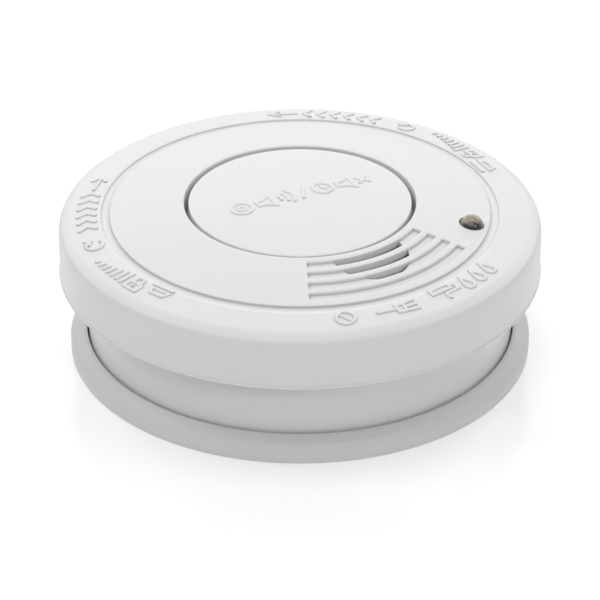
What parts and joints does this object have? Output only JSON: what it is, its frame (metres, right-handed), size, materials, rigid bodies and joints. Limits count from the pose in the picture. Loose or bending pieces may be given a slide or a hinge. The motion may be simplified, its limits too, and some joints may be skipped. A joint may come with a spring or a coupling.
{
  "type": "smoke detector",
  "caption": "Round white ceiling smoke detector: twist-off head on a mounting plate, large central test button, arc sounder grille and a small indicator lamp.",
  "frame": {"origin": "centre of the mounting plate's back face, the face that goes against the ceiling", "axes": "+Z from the ceiling plate out through the centre of the test button; the sounder grille lies towards -Y and +X, the battery towards +Y, the indicator lamp towards +X"},
  "size_m": [0.101, 0.101, 0.034],
  "materials": {
    "cover_white": "satin moulded ABS",
    "button_white": "satin moulded ABS",
    "case_white": "smooth moulded ABS",
    "plate_white": "satin moulded ABS",
    "inner_white": "moulded ABS",
    "black_abs": "matt black moulded ABS",
    "insect_mesh": "fine woven mesh",
    "clear_epoxy": "clear cast epoxy",
    "steel": "zinc plated",
    "brass": "rolled sheet",
    "ceramic": "fired ceramic with a thin silver face",
    "board_green": "solder mask on glass fibre",
    "can_sleeve": "shrink sleeve",
    "battery_jacket": "plain printed jacket with no text",
    "red_insulation": "soft wire insulation",
    "black_insulation": "soft wire insulation"
  },
  "bodies": {
    "plate": {"mounting_plate": "plate_white"},
    "head": {"rear_case": "case_white", "front_cover": "cover_white", "cover_screw_1": "steel", "cover_screw_2": "steel", "cover_screw_3": "steel", "cover_screw_4": "steel", "circuit_board": "board_green", "board_screw_1": "steel", "board_screw_2": "steel", "board_screw_3": "steel", "chamber_base": "black_abs", "chamber_lid": "black_abs", "insect_screen": "insect_mesh", "infrared_emitter": "black_abs", "photodiode": "clear_epoxy", "photodiode_shield": "steel", "sounder_housing": "inner_white", "piezo_plate": "brass", "piezo_ceramic": "ceramic", "piezo_lead_red": "red_insulation", "piezo_lead_black": "black_insulation", "status_led": "clear_epoxy", "led_spacer": "inner_white", "led_lead_1": "steel", "led_lead_2": "steel", "controller_chip": "black_abs", "capacitor_1": "can_sleeve", "capacitor_2": "can_sleeve", "boost_coil": "black_abs", "switch_body": "black_abs", "battery": "battery_jacket", "battery_terminal_positive": "steel", "battery_terminal_negative": "steel", "battery_snap": "inner_white", "snap_contact_positive": "steel", "snap_contact_negative": "steel", "battery_lead_red": "red_insulation", "battery_lead_black": "black_insulation", "button_spring": "steel"},
    "button": {"test_button": "button_white"},
    "plunger": {"switch_plunger": "steel"}
  },
  "joints": [
    {"name": "head_twist", "type": "hinge", "parent": "plate", "child": "head", "pos_m": [0, 0, 0.0035], "axis": [0, 0, 1], "range_deg": [0, 20]},
    {"name": "button_press", "type": "slide", "parent": "head", "child": "button", "axis": [0, 0, -1], "range_m": [0, 0.0009], "stiffness_N_per_m": 900, "springref_m": -0.002, "deforming": ["button_spring"]},
    {"name": "plunger_press", "type": "slide", "parent": "head", "child": "plunger", "axis": [0, 0, -1], "range_m": [0, 0.00063]}
  ],
  "couplings": [
    {"joint": "plunger_press", "follows": "button_press", "ratio": 0.7}
  ]
}
